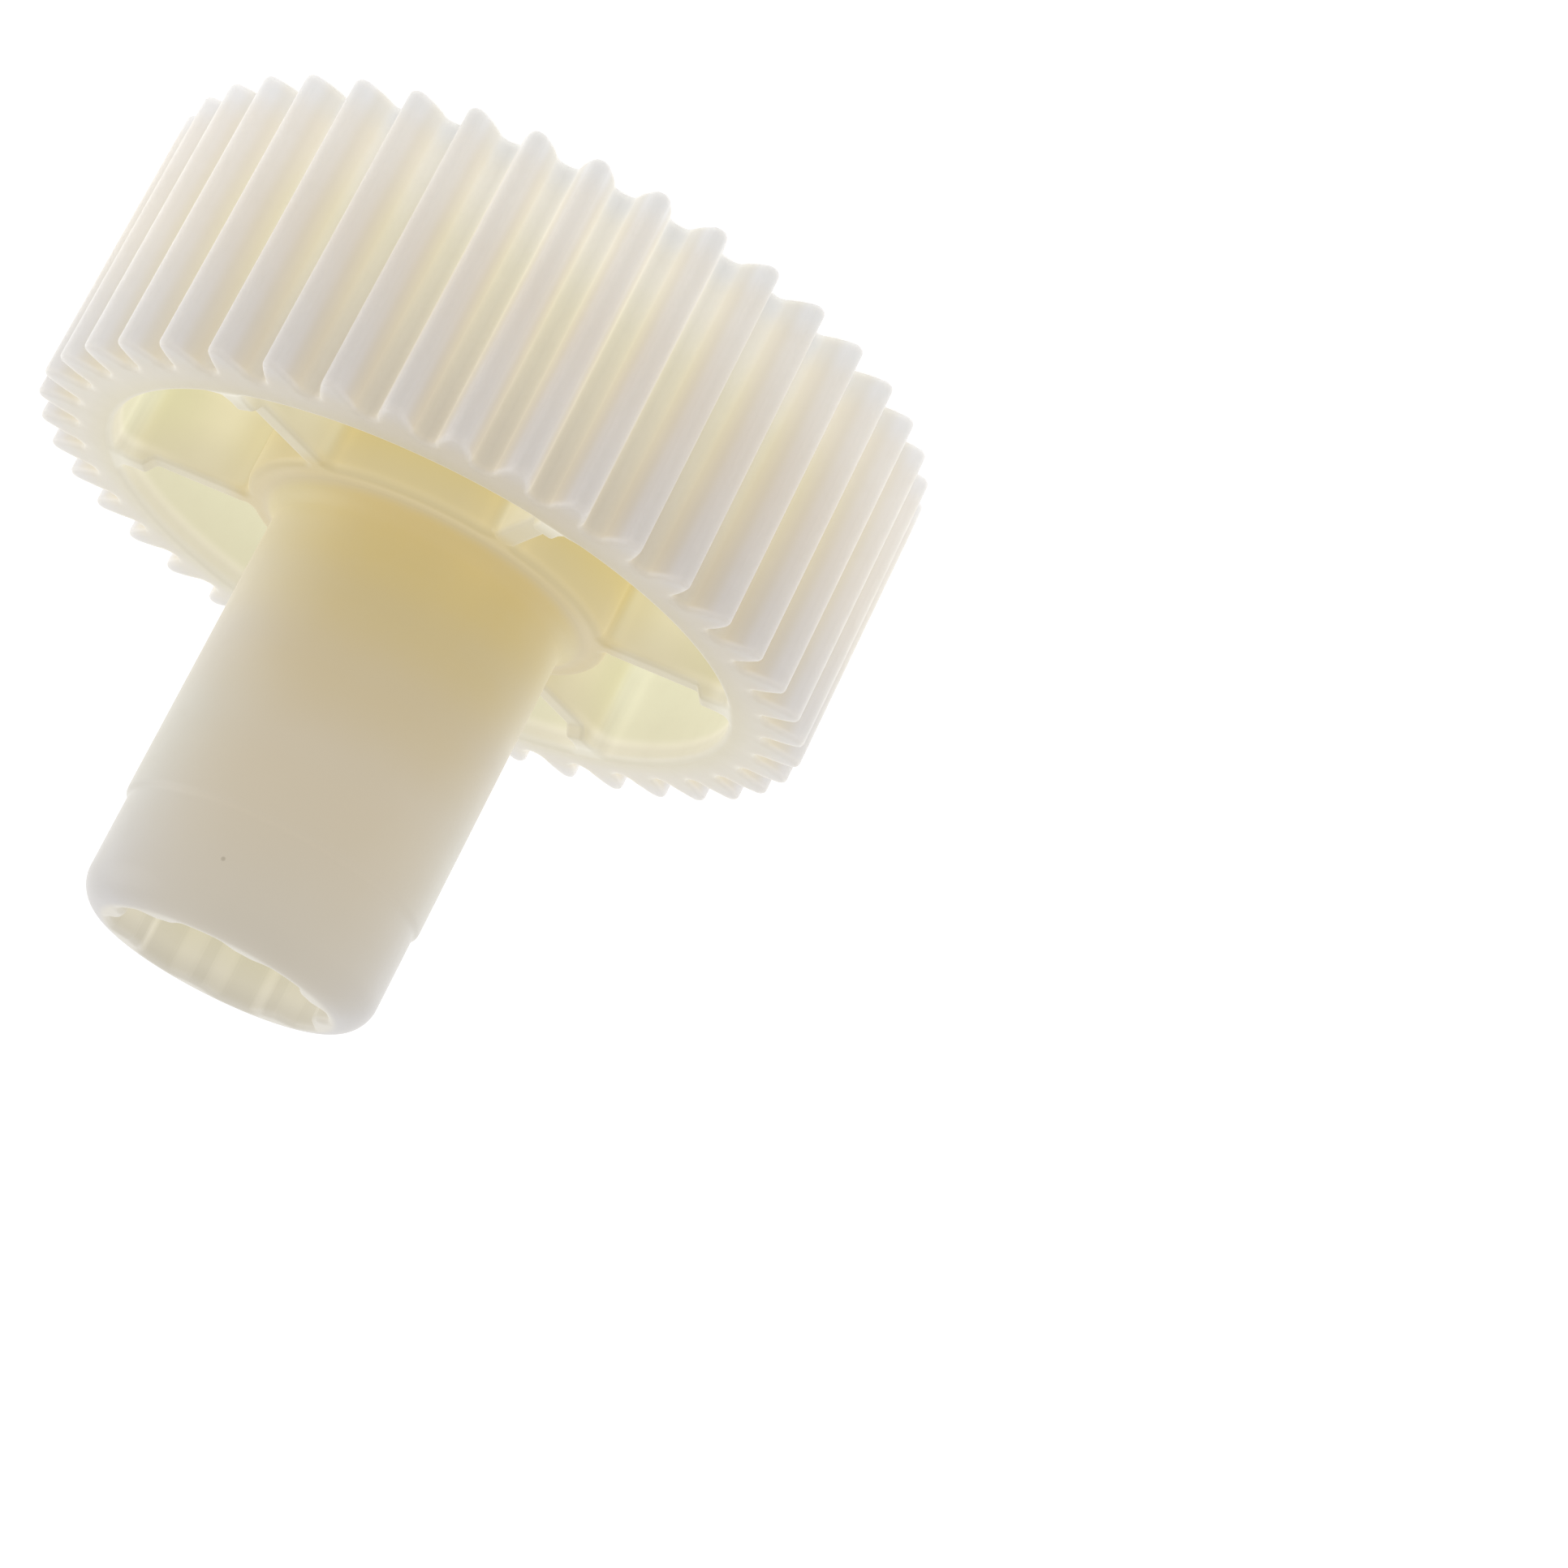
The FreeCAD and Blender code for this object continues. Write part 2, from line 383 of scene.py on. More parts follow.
def build():
    rr = np.repeat(R[:, None], COLUMNS, 1)
    tt = np.repeat(TH[None, :], len(R), 0)
    plan = [p[:, :, None] for p in [q for q in plan_fields(rr, tt)]]
    F = np.empty((len(R), COLUMNS, len(Z)), np.float32)
    for k0 in range(0, len(Z), 8):
        zz = Z[None, None, k0 : k0 + 8]
        F[:, :, k0 : k0 + 8] = solid(rr[:, :, None], tt[:, :, None], zz, plan)
    F[-1] = 1.0
    F[:, :, 0] = np.maximum(F[:, :, 0], 0.01)
    F[:, :, -1] = np.maximum(F[:, :, -1], 0.01)

    # name every inside node of the grid after the region it belongs to
    r3, z3 = R[:, None, None], Z[None, None, :]
    which = (np.floor((tt + math.pi / 6) / (math.pi / 3)).astype(int) % 6)[:, :, None]
    phi = (tt + math.pi / 6) % (math.pi / 3) - math.pi / 6
    across = np.abs(rr * np.sin(phi))
    flare_f = 1.0 + 1.5 * smooth01((rr - 23.9) / 2.1) + 1.0 * smooth01((16.6 - rr) / 1.4)
    flare_b = 1.0 + 1.5 * smooth01((rr - 23.9) / 2.1) + 1.0 * smooth01((11.8 - rr) / 1.4)
    in_front = (across < FRONT_HALF + flare_f)[:, :, None]
    in_back = (across < BACK_HALF + flare_b)[:, :, None]
    L = np.full(F.shape, LABEL["web_disc"], np.int8)
    front_zone = (z3 > WEB_HI) & (r3 > COLLAR_R) & in_front
    L = np.where(front_zone, (LABEL["front_rib_1"] + which).astype(np.int8), L)
    back_zone = (z3 < WEB_LO) & (r3 > BOSS_R) & in_back
    L = np.where(back_zone, (LABEL["back_rib_1"] + which).astype(np.int8), L)
    L = np.where((z3 < WEB_LO) & (r3 < BOSS_R), LABEL["back_boss"], L)
    L = np.where((z3 > WEB_HI) & (r3 < COLLAR_R), LABEL["front_collar"], L)
    L = np.where((z3 > COLLAR_TOP) & (r3 < 13.6), LABEL["sleeve_root"], L)
    L = np.where((z3 > BORE_END) & (r3 < 13.6), LABEL["socket_floor"], L)
    L = np.where((z3 > FLOOR_TOP) & (r3 < 13.6), LABEL["sleeve_journal"], L)
    L = np.where((z3 > NOSE_Z) & (r3 < 13.6), LABEL["sleeve_nose"], L)
    L = np.where((r3 > RIM_R) & (z3 > -1), LABEL["toothed_rim"], L)
    L = np.where(F > 0, 0, L).astype(np.int8)
    return F, L


F, L = build()
print("grid", F.shape, "inside", int((L > 0).sum()), "t", round(time.time() - START, 1))

nr, nt, nz = F.shape


def corner(a, i, j, k):
    """Value of a at a corner of every cell, with the angle wrapping round."""
    b = a[i : nr - 1 + i, :, k : nz - 1 + k]
    return np.roll(b, -1, 1) if j else b


mixed = np.zeros((nr - 1, nt, nz - 1), bool)
first = corner(L, 0, 0, 0)
for i in (0, 1):
    for j in (0, 1):
        for k in (0, 1):
            mixed |= corner(L, i, j, k) != first
cells = np.flatnonzero(mixed)
vid = np.full(mixed.shape, -1, np.int32)
vid.ravel()[cells] = np.arange(len(cells))
ci, cj, ck = np.unravel_index(cells, mixed.shape)


def at(a, i, j, k):
    return a[ci + i, (cj + j) % nt, ck + k]


lab = {(i, j, k): at(L, i, j, k) for i in (0, 1) for j in (0, 1) for k in (0, 1)}
val = {c: at(F, *c) for c in lab}
has0 = np.zeros(len(cells), bool)
for c in lab:
    has0 |= lab[c] == 0
acc = np.zeros((len(cells), 3))
cnt = np.zeros(len(cells))
corners = list(lab)
for c in corners:
    for axis in range(3):
        if c[axis]:
            continue
        d = list(c)
        d[axis] = 1
        d = tuple(d)
        la, lb, fa, fb = lab[c], lab[d], val[c], val[d]
        crossing = np.where(has0, (la == 0) != (lb == 0), la != lb)
        t = np.where(has0, np.clip(fa / np.where(fa == fb, 1, fa - fb), 0.02, 0.98), 0.5)
        p = np.repeat(np.array(c, float)[None], len(cells), 0)
        p[:, axis] = t
        acc += p * crossing[:, None]
        cnt += crossing
uvw = acc / np.maximum(cnt, 1)[:, None]
vr = R[ci] + (R[ci + 1] - R[ci]) * uvw[:, 0]
vt = (cj + 0.5 + uvw[:, 1]) * (2 * math.pi / nt)
vz = Z[ck] + (Z[ck + 1] - Z[ck]) * uvw[:, 2]
V = np.stack([vr * np.cos(vt), vr * np.sin(vt), vz], 1)
print("vertices", len(V), "t", round(time.time() - START, 1))


def value(p):
    r = np.hypot(p[:, 0], p[:, 1])
    th = np.arctan2(p[:, 1], p[:, 0]) % (2 * math.pi)
    return solid(r, th, p[:, 2])


def gradient(p, h):
    g = np.empty_like(p)
    for a in range(3):
        e = np.zeros(3)
        e[a] = h
        g[:, a] = (value(p + e) - value(p - e)) / (2 * h)
    return g


outer = has0
P = V[outer].copy()
for step in range(2):
    f = value(P)
    g = gradient(P, 0.01)
    n2 = np.maximum((g * g).sum(1), 0.05)
    move = -f[:, None] * g / n2[:, None]
    size = np.linalg.norm(move, axis=1)
    cap = 0.35
    move *= np.minimum(1.0, cap / np.maximum(size, 1e-9))[:, None]
    P = P + move
print("residual", float(np.abs(value(P)).mean()), "t", round(time.time() - START, 1))
V[outer] = P
V[:, 2] = np.clip(V[:, 2], 0.0, END_Z)

# ---------------------------------------------------------------------------
# Quads: one round every grid edge whose two ends belong to different regions.
# ---------------------------------------------------------------------------
quads, inside_of, outside_of = [], [], []


def collect(i, j, k, la, lb, ring):
    """ring holds the four cells round each edge, in the order that faces from a to b."""
    q = np.stack(ring, 1)
    a_in = la > 0
    quads.append(q[a_in])
    inside_of.append(la[a_in])
    outside_of.append(lb[a_in])
    b_in = lb > 0
    quads.append(q[b_in][:, ::-1])
    inside_of.append(lb[b_in])
    outside_of.append(la[b_in])


def vertex(i, j, k):
    return vid[i, j % nt, k]


# edges along the radius
i, j, k = np.nonzero(L[:-1, :, 1:-1] != L[1:, :, 1:-1])
k = k + 1
collect(i, j, k, L[i, j, k], L[i + 1, j, k],
        [vertex(i, j - 1, k - 1), vertex(i, j, k - 1), vertex(i, j, k), vertex(i, j - 1, k)])
# edges along the angle
i, j, k = np.nonzero(L[1:-1, :, 1:-1] != np.roll(L, -1, 1)[1:-1, :, 1:-1])
i, k = i + 1, k + 1
collect(i, j, k, L[i, j, k], L[i, (j + 1) % nt, k],
        [vertex(i - 1, j, k - 1), vertex(i - 1, j, k), vertex(i, j, k), vertex(i, j, k - 1)])
# edges along the height
i, j, k = np.nonzero(L[1:-1, :, :-1] != L[1:-1, :, 1:])
i = i + 1
collect(i, j, k, L[i, j, k], L[i, j, k + 1],
        [vertex(i - 1, j - 1, k), vertex(i, j - 1, k), vertex(i, j, k), vertex(i - 1, j, k)])
Q = np.concatenate(quads)
QI = np.concatenate(inside_of)
QO = np.concatenate(outside_of)
assert (Q >= 0).all()

# Straight stretches and hidden cuts need few vertices. A vertex that moves onto a
# neighbour takes nothing from the shape: the teeth and the bores are the same at
# every height in between, and the hidden cuts are flat.
target = np.arange(len(V))


def stand_in(rows, keep):
    """Every k in rows is replaced by the nearest of keep."""
    m = np.arange(nz)
    for k_ in rows:
        m[k_] = min(keep, key=lambda q_: abs(q_ - k_))
    return m


def levels(z0, z1, keep_z, where_):
    rows = [k_ for k_ in range(nz - 1) if z0 < Z[k_] and Z[k_ + 1] < z1]
    if not rows:
        return
    keep = sorted({min(rows, key=lambda k_: abs(0.5 * (Z[k_] + Z[k_ + 1]) - q_)) for q_ in keep_z})
    m = stand_in(rows, keep)
    sel_ = where_ & np.isin(ck, rows)
    new = vid[ci[sel_], cj[sel_], m[ck[sel_]]]
    ok = new >= 0
    idx_ = np.flatnonzero(sel_)
    target[idx_[ok]] = new[ok]


cell_r = 0.5 * (R[ci] + R[ci + 1])
levels(0.75, 23.3, (1.0, 12.0, 23.0), cell_r > 27.0)
levels(0.9, 9.9, (1.2, 5.0, 9.6), cell_r < 6.2)
levels(10.5, 13.6, (12.0,), cell_r < 6.2)
levels(13.9, 22.8, (14.5, 18.0, 22.4), cell_r < 6.2)
levels(23.0, 25.4, (24.2,), cell_r < 6.2)

# runs of hidden vertices on a flat cut: all but one in the middle go
hidden = ~has0
along = {0: np.zeros(len(cells), bool), 2: np.zeros(len(cells), bool)}
lower = [lab[(a_, b_, 0)] for a_ in (0, 1) for b_ in (0, 1)]
upper = [lab[(a_, b_, 1)] for a_ in (0, 1) for b_ in (0, 1)]
flat = hidden.copy()
for x_ in lower[1:]:
    flat &= x_ == lower[0]
for x_ in upper[1:]:
    flat &= x_ == upper[0]
along[0] = flat
inner_ = [lab[(0, a_, b_)] for a_ in (0, 1) for b_ in (0, 1)]
outer_ = [lab[(1, a_, b_)] for a_ in (0, 1) for b_ in (0, 1)]
flat = hidden.copy()
for x_ in inner_[1:]:
    flat &= x_ == inner_[0]
for x_ in outer_[1:]:
    flat &= x_ == outer_[0]
along[2] = flat & ~along[0]
for axis_, sel_ in along.items():
    idx_ = np.flatnonzero(sel_)
    if axis_ == 0:
        order = np.lexsort((ci[idx_], cj[idx_], ck[idx_]))
        idx_ = idx_[order]
        same = (np.diff(ck[idx_]) == 0) & (np.diff(cj[idx_]) == 0) & (np.diff(ci[idx_]) == 1)
    else:
        order = np.lexsort((ck[idx_], cj[idx_], ci[idx_]))
        idx_ = idx_[order]
        same = (np.diff(ci[idx_]) == 0) & (np.diff(cj[idx_]) == 0) & (np.diff(ck[idx_]) == 1)
    run = np.concatenate([[0], np.cumsum(~same)])
    first_ = np.searchsorted(run, np.arange(run[-1] + 1))
    last_ = np.searchsorted(run, np.arange(run[-1] + 1), side="right") - 1
    middle = (first_ + last_) // 2
    target[idx_] = idx_[middle[run]]
target = target[target]
Q = target[Q]
# quads that closed up go, and those with one closed side become triangles
q0, q1, q2, q3 = Q.T
degenerate = (q0 == q2) | (q1 == q3) | ((q0 == q1) & (q2 == q3)) | ((q1 == q2) & (q3 == q0))
Q, QI, QO = Q[~degenerate], QI[~degenerate], QO[~degenerate]
dup = np.stack([Q[:, a_] == Q[:, (a_ + 1) % 4] for a_ in range(4)], 1)
three = dup.any(1)
bad = dup.sum(1) > 1
side = dup.argmax(1)
pick = np.array([[0, 2, 3], [0, 1, 3], [0, 1, 2], [1, 2, 3]])
T3 = np.take_along_axis(Q, pick[side], 1)[three & ~bad]
T3I, T3O = QI[three & ~bad], QO[three & ~bad]
Q, QI, QO = Q[~three], QI[~three], QO[~three]

# middle of the two round faces that cross the axis
extra, tris, TI = [], [], []
for k in np.flatnonzero(L[0, 0, :-1] != L[0, 0, 1:]):
    ring = target[vid[0, :, k]]
    z = float(V[ring, 2].mean())
    c = len(V) + len(extra)
    extra.append((0.0, 0.0, z))
    up = L[0, 0, k] > 0
    inside = L[0, 0, k] if up else L[0, 0, k + 1]
    nxt = np.roll(ring, -1)
    t = np.stack([ring, nxt, np.full(nt, c)], 1)
    tris.append(t if up else t[:, ::-1])
    TI.append(np.full(nt, inside))
V = np.concatenate([V, np.array(extra)])
T = np.concatenate(tris + [T3])
TI = np.concatenate(TI + [T3I])
TO = np.concatenate([np.zeros(len(T) - len(T3), int), T3O])
print("quads", len(Q), "outer", int((QO == 0).sum()), "t", round(time.time() - START, 1))

# normals of the visible skin, shared by neighbouring pieces so that no seam shows
N = np.zeros_like(V)
skin = Q[QO == 0]
n = np.cross(V[skin[:, 2]] - V[skin[:, 0]], V[skin[:, 3]] - V[skin[:, 1]])
for a in range(4):
    for b in range(3):
        N[:, b] += np.bincount(skin[:, a], n[:, b], len(V))
skin_t = T[TO == 0]
nt_ = np.cross(V[skin_t[:, 1]] - V[skin_t[:, 0]], V[skin_t[:, 2]] - V[skin_t[:, 0]])
for a in range(3):
    for b in range(3):
        N[:, b] += np.bincount(skin_t[:, a], nt_[:, b], len(V))
N /= np.maximum(np.linalg.norm(N, axis=1), 1e-12)[:, None]

# ---------------------------------------------------------------------------
# What the painted light in the plastic's colour depends on, measured on the shape itself:
#   shade  how shut in a point is (0 open, 1 deep in a recess); it raises the painted glow in recesses
#   crest  how sharply the skin turns (positive on edges, negative in corners); it paints edges whiter as a painted
#   highlight
# ---------------------------------------------------------------------------
skin_ids = np.unique(np.concatenate([skin.ravel(), skin_t.ravel()]))
S, SN = V[skin_ids], N[skin_ids]
shade = np.zeros(len(S))
total = 0.0
for d, w in ((0.8, 0.9), (2.0, 0.8), (4.5, 0.7), (9.0, 0.6)):
    shade += w * np.clip((d - value(S + SN * d)) / d, 0, 1)
    total += w
shade /= total
h = 0.35
lap = -6 * value(S)
for a in range(3):
    e = np.zeros(3)
    e[a] = h
    lap += value(S + e) + value(S - e)
crest = np.clip(lap / h**2, -2.5, 2.5) / 2.5
attribute = {}
for name, v in (("shade", shade), ("crest", crest)):
    full = np.zeros(len(V))
    full[skin_ids] = v
    attribute[name] = full
print("attributes", "t", round(time.time() - START, 1),
      [round(float(x), 3) for x in (shade.mean(), shade.max(), crest.min(), crest.max())])


# ---------------------------------------------------------------------------
# Material: natural nylon, slightly translucent, satin from the mould.
# ---------------------------------------------------------------------------
SKIN_SHARE, GLOW_SHARE = 0.42, 0.50
CROWN = (
    (0.02, (0.82, 0.812, 0.81)),
    (0.14, (0.827, 0.784, 0.726)),
    (0.45, (0.81, 0.764, 0.695)),
    (1.0, (0.728, 0.707, 0.687)),
)
GAP = (
    (0.02, (0.84, 0.83, 0.81)),
    (0.14, (0.897, 0.853, 0.755)),
    (0.45, (0.876, 0.835, 0.659)),
    (1.0, (0.75, 0.698, 0.578)),
)
SLEEVE_FRONT = (
    (0.38, (0.638, 0.494, 0.208)),
    (0.44, (0.623, 0.49, 0.218)),
    (0.51, (0.592, 0.478, 0.249)),
    (0.6, (0.579, 0.481, 0.303)),
    (0.72, (0.585, 0.505, 0.372)),
    (1.0, (0.557, 0.508, 0.423)),
)
SLEEVE_SIDE = (
    (0.38, (0.647, 0.547, 0.283)),
    (0.44, (0.657, 0.565, 0.348)),
    (0.51, (0.654, 0.577, 0.399)),
    (0.6, (0.607, 0.55, 0.443)),
    (0.72, (0.594, 0.562, 0.478)),
    (1.0, (0.549, 0.526, 0.509)),
)
SOCKET = (
    (0.45, (0.62, 0.52, 0.27)),
    (0.75, (0.684, 0.641, 0.393)),
    (1.0, (0.648, 0.608, 0.531)),
)
BORE = (0.74, 0.70, 0.52)
FRONT_DEEP = (
    (0.47, (0.627, 0.504, 0.205)),
    (0.5, (0.686, 0.613, 0.373)),
    (0.6, (0.783, 0.723, 0.497)),
    (0.76, (0.668, 0.632, 0.406)),
    (0.805, (0.766, 0.752, 0.572)),
)
FRONT_FACE = (
    (0.4, (0.594, 0.497, 0.296)),
    (0.47, (0.619, 0.516, 0.281)),
    (0.55, (0.668, 0.598, 0.415)),
    (0.74, (0.694, 0.636, 0.467)),
    (0.81, (0.821, 0.781, 0.645)),
)
RIM_FACE = (
    (0.82, (0.697, 0.643, 0.485)),
    (0.9, (0.712, 0.666, 0.565)),
    (1.0, (0.708, 0.685, 0.657)),
)
BACK_DEEP = ((0.33, (0.52, 0.44, 0.21)), (0.50, (0.53, 0.45, 0.24)), (0.80, (0.56, 0.50, 0.32)))
BACK_FACE = (
    (0.18, (0.43, 0.36, 0.22)), (0.33, (0.44, 0.37, 0.24)), (0.60, (0.50, 0.44, 0.30)),
    (0.88, (0.51, 0.46, 0.36)), (0.97, (0.62, 0.58, 0.51)),
)


def nylon():
    m = bpy.data.materials.new("moulded_nylon")
    m.use_nodes = True
    nt_ = m.node_tree
    nodes, links = nt_.nodes, nt_.links
    nodes.clear()
    out = nodes.new("ShaderNodeOutputMaterial")
    bsdf = nodes.new("ShaderNodeBsdfPrincipled")
    links.new(bsdf.outputs[0], out.inputs[0])
    coord = nodes.new("ShaderNodeTexCoord")
    obj = coord.outputs["Object"]

    def attr(name):
        n = nodes.new("ShaderNodeAttribute")
        n.attribute_type = "GEOMETRY"
        n.attribute_name = name
        return n.outputs["Fac"]

    def math_(op, a, b=None, clamp=False):
        n = nodes.new("ShaderNodeMath")
        n.operation = op
        n.use_clamp = clamp
        for s, v in zip(n.inputs, (a, b)):
            if v is None:
                continue
            if isinstance(v, (int, float)):
                s.default_value = v
            else:
                links.new(v, s)
        return n.outputs[0]

    def span(v, a, b, c=0.0, d=1.0, smooth=True):
        n = nodes.new("ShaderNodeMapRange")
        n.interpolation_type = "SMOOTHSTEP" if smooth else "LINEAR"
        links.new(v, n.inputs[0])
        for i, x in enumerate((a, b, c, d)):
            n.inputs[i + 1].default_value = x
        return n.outputs[0]

    def mix(f, a, b, kind="MIX"):
        n = nodes.new("ShaderNodeMix")
        n.data_type = "RGBA"
        n.blend_type = kind
        for s, v in ((n.inputs[0], f), (n.inputs[6], a), (n.inputs[7], b)):
            if isinstance(v, tuple):
                s.default_value = (*v, 1.0)
            elif isinstance(v, (int, float)):
                s.default_value = v
            else:
                links.new(v, s)
        return n.outputs[2]

    def noise(scale, detail=3.0, rough=0.5, vector=None):
        n = nodes.new("ShaderNodeTexNoise")
        n.inputs["Scale"].default_value = scale
        n.inputs["Detail"].default_value = detail
        n.inputs["Roughness"].default_value = rough
        links.new(vector or obj, n.inputs["Vector"])
        return n.outputs[0]

    def ramp(v, *stops):
        """Colour by a value; stops are (value, colour) with the values in 0..1."""
        n = nodes.new("ShaderNodeValToRGB")
        links.new(v, n.inputs[0])
        cr = n.color_ramp
        cr.interpolation = "EASE"
        while len(cr.elements) < len(stops):
            cr.elements.new(0.5)
        for el, (pos, col) in zip(cr.elements, stops):
            el.position = pos
            el.color = (*col, 1.0)
        return n.outputs[0]

    sep = nodes.new("ShaderNodeSeparateXYZ")
    links.new(obj, sep.inputs[0])
    flat_ = nodes.new("ShaderNodeCombineXYZ")
    links.new(sep.outputs[0], flat_.inputs[0])
    links.new(sep.outputs[1], flat_.inputs[1])
    length = nodes.new("ShaderNodeVectorMath")
    length.operation = "LENGTH"
    links.new(flat_.outputs[0], length.inputs[0])
    cloudy = noise(55.0, 3.0)
    mottle = noise(420.0, 4.0, 0.6)
    drift = math_("MULTIPLY", math_("SUBTRACT", cloudy, 0.5), 3.0)
    radius = math_("MULTIPLY", length.outputs["Value"], 1000.0)
    height = math_("MULTIPLY", sep.outputs[2], 1000.0)
    soft_height = math_("ADD", height, drift)
    # 1 on the side at 68 degrees round the axis, -1 opposite: that side is painted darker, as painted shade, and the
    # sides turned from it paler, as if lit
    way = nodes.new("ShaderNodeVectorMath")
    way.operation = "DOT_PRODUCT"
    links.new(flat_.outputs[0], way.inputs[0])
    way.inputs[1].default_value = (math.cos(math.radians(68)), math.sin(math.radians(68)), 0.0)
    facing = math_("DIVIDE", way.outputs["Value"], math_("ADD", length.outputs["Value"], 0.0001))

    shade_, crest_ = attr("shade"), attr("crest")

    # teeth: greyish white crowns, creamy gaps, paler towards the back face
    up = math_("DIVIDE", soft_height, 24.0, clamp=True)
    crown = ramp(up, *CROWN)
    gap = ramp(up, *GAP)
    teeth = mix(span(radius, 29.3, 31.7), gap, crown)
    # the flanks shade each other a little
    flank = math_("MULTIPLY", span(radius, 29.0, 30.0), span(radius, 31.7, 30.7))
    teeth = mix(flank, teeth, mix(1.0, teeth, (0.93, 0.91, 0.86), "MULTIPLY"))
    # sleeve: amber where it grows out of the hub, grey beige towards the end
    along_ = math_("DIVIDE", soft_height, 60.0, clamp=True)
    # painted light: towards 68 degrees the sleeve takes the darker amber front ramp, as painted shade, and its sides
    # take the paler, greyer side ramp, as if lit
    sleeve_front = ramp(along_, *SLEEVE_FRONT)
    sleeve_side = ramp(along_, *SLEEVE_SIDE)
    sleeve_lit_side = span(facing, 0.96, 0.25)
    sleeve = mix(sleeve_lit_side, sleeve_front, sleeve_side)
    # front of the wheel: amber hub, creamy ribs and rim wall
    out_ = math_("DIVIDE", radius, 32.0, clamp=True)
    front_deep = ramp(out_, *FRONT_DEEP)
    near_top = math_("MULTIPLY", span(height, 17.5, 22.6), span(radius, 26.0, 25.0, 0.4, 1.0))
    front_deep = mix(math_("MULTIPLY", near_top, 0.45), front_deep, (0.56, 0.49, 0.35))
    front_face = ramp(out_, *FRONT_FACE)
    front = mix(span(height, 21.6, 22.8), front_deep, front_face)
    back_deep = ramp(out_, *BACK_DEEP)
    back_face = ramp(out_, *BACK_FACE)
    back = mix(span(height, 2.2, 0.9), back_deep, back_face)
    wheel = mix(span(height, 11.0, 13.0), back, front)
    c = mix(span(radius, 12.6, 13.6), sleeve, wheel)
    c = mix(span(height, 22.2, 23.0), wheel, c)
    hollow = math_("MULTIPLY", span(radius, 9.9, 9.2), span(height, 25.0, 26.0))
    c = mix(hollow, c, ramp(along_, *SOCKET))
    c = mix(math_("MULTIPLY", span(radius, 6.6, 5.6), span(height, 26.6, 26.0)), c, BORE)
    rim_skin = span(radius, 28.2, 28.9)
    # painted shade: the teeth and the rim face are darker on the side at 68 degrees and towards the front face, and
    # paler round the other sides, as if lit from there
    painted_side_shade = mix(span(height, 3.0, 14.0), (0.93, 0.93, 0.92), (0.84, 0.81, 0.78))
    painted_side_shade = mix(span(facing, 1.0, 0.15), painted_side_shade, (1.0, 1.0, 1.0))
    c = mix(rim_skin, c, mix(1.0, teeth, painted_side_shade, "MULTIPLY"))
    flat_rim = math_("MULTIPLY", span(height, 23.45, 23.85), span(radius, 26.0, 26.6))
    c = mix(flat_rim, c, mix(1.0, ramp(out_, *RIM_FACE), painted_side_shade, "MULTIPLY"))
    # edges scatter more light and look whiter
    # painted highlight: sharp edges are painted whiter, standing in for the light they scatter
    painted_edge_highlight = math_("MULTIPLY", span(crest_, 0.20, 0.9), span(radius, 15.6, 16.4, 0.02, 0.06))
    c = mix(painted_edge_highlight, c, (0.86, 0.84, 0.80))
    # a little cloudiness from the melt
    c = mix(math_("MULTIPLY", span(mottle, 0.42, 0.72), 0.05), c, (0.58, 0.52, 0.38))
    c = mix(math_("MULTIPLY", span(cloudy, 0.40, 0.70), 0.05), c, (0.88, 0.86, 0.82))
    # a few dark specks
    speck = nodes.new("ShaderNodeTexVoronoi")
    speck.feature = "F1"
    speck.inputs["Scale"].default_value = 120.0
    links.new(obj, speck.inputs["Vector"])
    sep_col = nodes.new("ShaderNodeSeparateColor")
    links.new(speck.outputs["Color"], sep_col.inputs[0])
    rare = math_("GREATER_THAN", sep_col.outputs[0], 0.965)
    dot = math_("MULTIPLY", rare, span(speck.outputs["Distance"], 0.028, 0.014))
    c = mix(math_("MULTIPLY", dot, 0.35), c, (0.20, 0.16, 0.10))

    # Painted glow: the paint is also emitted, standing in for light that has travelled through the wall and comes out
    # of the skin again, and it is raised where the skin is shut in between other walls, which paints light into the
    # recesses.
    surface = mix(1.0, c, (SKIN_SHARE,) * 3, "MULTIPLY")
    surface.node.name = "paint_base"
    glow = nodes.new("ShaderNodeVectorMath")
    glow.operation = "SCALE"
    glow.name = "paint_glow"
    links.new(c, glow.inputs[0])
    pocket = math_("MULTIPLY", span(height, 23.0, 22.2), span(radius, 26.5, 25.9))
    pocket = math_("MULTIPLY", pocket, span(height, 1.2, 2.4))
    pocket = math_("MAXIMUM", pocket, math_("MULTIPLY", hollow, span(height, END_Z - 0.4, END_Z - 2.2)))
    painted_recess_glow = math_("ADD", math_("MULTIPLY", pocket, 0.20),
                  math_("MULTIPLY", shade_, math_("ADD", 0.55, math_("MULTIPLY", pocket, 0.20))))
    links.new(math_("ADD", 1.0, painted_recess_glow), glow.inputs["Scale"])
    links.new(surface, bsdf.inputs["Base Color"])
    links.new(glow.outputs[0], bsdf.inputs["Emission Color"])
    bsdf.inputs["Emission Strength"].default_value = GLOW_SHARE
    bsdf.inputs["Sheen Weight"].default_value = 0.29
    bsdf.inputs["Sheen Roughness"].default_value = 0.45

    rough = math_("ADD", 0.40, math_("MULTIPLY", math_("SUBTRACT", mottle, 0.5), 0.14))
    links.new(rough, bsdf.inputs["Roughness"])
    bsdf.inputs["IOR"].default_value = 1.53
    bsdf.inputs["Specular IOR Level"].default_value = 0.30
    bsdf.inputs["Subsurface Weight"].default_value = 1.0
    bsdf.inputs["Subsurface Radius"].default_value = (1.0, 0.95, 0.85)
    links.new(span(radius, 26.6, 28.4, 0.0, 0.0022), bsdf.inputs["Subsurface Scale"])

